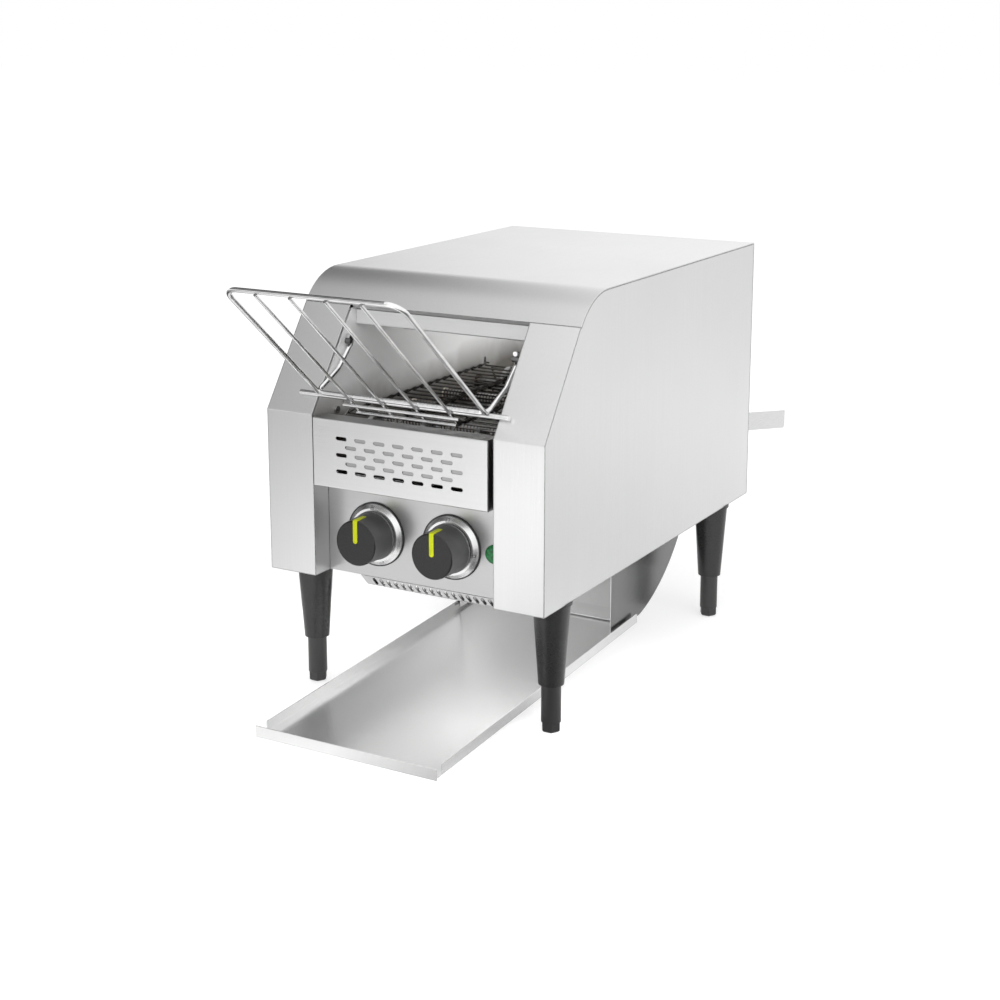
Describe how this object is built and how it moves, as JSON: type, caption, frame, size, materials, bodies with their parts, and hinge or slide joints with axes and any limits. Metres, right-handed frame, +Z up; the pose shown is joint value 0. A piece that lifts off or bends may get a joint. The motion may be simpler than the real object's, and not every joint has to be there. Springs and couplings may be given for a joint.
{
  "type": "conveyor toaster",
  "caption": "Conveyor toaster: folded stainless case on adjustable legs, wire feed rack, wire belt between heater tubes, curved rear chute and a sliding exit tray.",
  "frame": {"origin": "middle of the overall box at floor level, under the feet", "axes": "+X to the right as seen by a person at the front, the front faces -Y, +Z up"},
  "size_m": [0.291, 0.6981, 0.4093],
  "materials": {
    "stainless": "brushed",
    "steel": "plain",
    "wire": "polished wire",
    "dial": "satin",
    "quartz": "frosted",
    "ceramic": "matte",
    "bearing": "sintered",
    "motor": "plain",
    "black_plastic": "moulded",
    "pointer": "bright",
    "gasket": "matte",
    "lens": "translucent"
  },
  "bodies": {
    "case": {"right_side_panel": "stainless", "left_side_panel": "stainless", "top_cover": "stainless", "rear_panel": "stainless", "base_pan": "stainless", "control_panel": "stainless", "front_vent_panel": "stainless", "intake_strip": "stainless", "inner_wall_right": "stainless", "inner_wall_left": "stainless", "header_plate": "stainless", "upper_reflector": "stainless", "lower_reflector": "stainless", "chamber_floor": "stainless", "rear_baffle": "stainless", "upper_heater_tubes": "quartz", "lower_heater_tubes": "quartz", "heater_caps": "ceramic", "conveyor_belt": "wire", "shaft_bushes": "bearing", "drive_chain": "steel", "gear_motor": "motor", "motor_bracket": "steel", "rear_chute": "stainless", "rack_pegs": "steel", "speed_dial": "dial", "heat_dial": "dial", "speed_control": "black_plastic", "heat_control": "black_plastic", "dial_gaskets": "gasket", "pilot_lens": "lens", "pilot_body": "black_plastic", "leg_front_left": "black_plastic", "leg_front_right": "black_plastic", "leg_rear_left": "black_plastic", "leg_rear_right": "black_plastic", "leg_nuts": "steel", "rear_spacer_right": "stainless", "rear_spacer_left": "stainless", "cord_gland": "black_plastic", "case_screws": "steel"},
    "drive_axle": {"drive_shaft": "steel", "drive_sprockets": "steel", "shaft_sprocket": "steel"},
    "idler_axle": {"idler_shaft": "steel", "idler_sprockets": "steel"},
    "motor_output": {"motor_shaft": "steel", "motor_sprocket": "steel"},
    "speed_knob_set": {"speed_knob": "black_plastic", "speed_pointer": "pointer", "speed_spindle": "steel"},
    "heat_knob_set": {"heat_knob": "black_plastic", "heat_pointer": "pointer", "heat_spindle": "steel"},
    "tray": {"exit_tray": "stainless"},
    "rack": {"feed_rack": "wire"},
    "front_left_foot": {"foot_front_left": "black_plastic"},
    "front_right_foot": {"foot_front_right": "black_plastic"},
    "rear_left_foot": {"foot_rear_left": "black_plastic"},
    "rear_right_foot": {"foot_rear_right": "black_plastic"}
  },
  "joints": [
    {"name": "drive_shaft_spin", "type": "hinge", "parent": "case", "child": "drive_axle", "pos_m": [0, 0.07715, 0.25], "axis": [-1, 0, 0], "continuous": true, "deforming": ["conveyor_belt", "drive_chain"]},
    {"name": "idler_shaft_spin", "type": "hinge", "parent": "case", "child": "idler_axle", "pos_m": [0, -0.17485, 0.25], "axis": [-1, 0, 0], "continuous": true},
    {"name": "motor_shaft_spin", "type": "hinge", "parent": "case", "child": "motor_output", "pos_m": [0.112, 0.01015, 0.172], "axis": [-1, 0, 0], "continuous": true},
    {"name": "speed_knob_turn", "type": "hinge", "parent": "case", "child": "speed_knob_set", "pos_m": [-0.042, -0.21, 0.164], "axis": [0, 1, 0], "range_deg": [0, 270]},
    {"name": "heat_knob_turn", "type": "hinge", "parent": "case", "child": "heat_knob_set", "pos_m": [0.038, -0.21, 0.164], "axis": [0, 1, 0], "range_deg": [0, 270]},
    {"name": "tray_slide", "type": "slide", "parent": "case", "child": "tray", "axis": [0, -1, 0], "range_m": [0, 0.3]},
    {"name": "rack_tilt", "type": "hinge", "parent": "case", "child": "rack", "pos_m": [0, -0.16385, 0.333], "axis": [-1, 0, 0], "range_deg": [0, 45]},
    {"name": "front_left_foot_slide", "type": "slide", "parent": "case", "child": "front_left_foot", "axis": [0, 0, 1], "range_m": [0, 0.02]},
    {"name": "front_right_foot_slide", "type": "slide", "parent": "case", "child": "front_right_foot", "axis": [0, 0, 1], "range_m": [0, 0.02]},
    {"name": "rear_left_foot_slide", "type": "slide", "parent": "case", "child": "rear_left_foot", "axis": [0, 0, 1], "range_m": [0, 0.02]},
    {"name": "rear_right_foot_slide", "type": "slide", "parent": "case", "child": "rear_right_foot", "axis": [0, 0, 1], "range_m": [0, 0.02]}
  ],
  "couplings": [
    {"joint": "idler_shaft_spin", "follows": "drive_shaft_spin", "ratio": 1},
    {"joint": "motor_shaft_spin", "follows": "drive_shaft_spin", "ratio": 1.4444}
  ]
}
